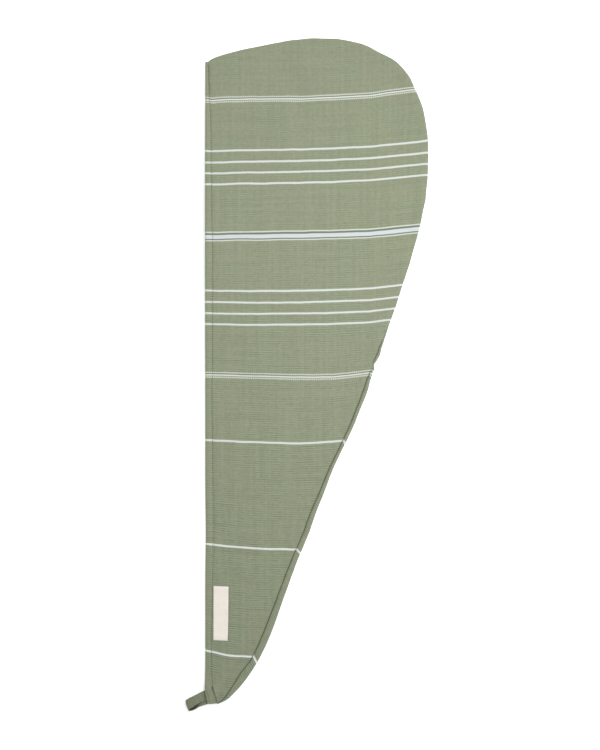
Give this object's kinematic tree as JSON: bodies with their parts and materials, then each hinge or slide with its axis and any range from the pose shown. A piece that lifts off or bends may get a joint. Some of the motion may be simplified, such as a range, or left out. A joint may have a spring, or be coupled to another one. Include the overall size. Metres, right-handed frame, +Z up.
{
  "type": "hair towel",
  "caption": "Hair towel lying flat: a long tapering hood of two cotton panels seamed along the curved edge, open along the straight hem, with a fastening loop at the tail.",
  "frame": {"origin": "middle of the footprint, on the surface that the towel lies on", "axes": "+Y along the towel from the tail to the crown, +X from the straight hem to the curved seam, +Z up out of the front panel"},
  "size_m": [0.2548, 0.7054, 0.0149],
  "materials": {
    "towel_cotton": "matt",
    "loop_cotton": "matt",
    "label_tape": "matt",
    "button_plastic": "satin"
  },
  "bodies": {
    "root": {"back_panel": "towel_cotton", "front_panel": "towel_cotton", "tail_loop": "loop_cotton", "label": "label_tape", "nape_button": "button_plastic"}
  },
  "joints": []
}
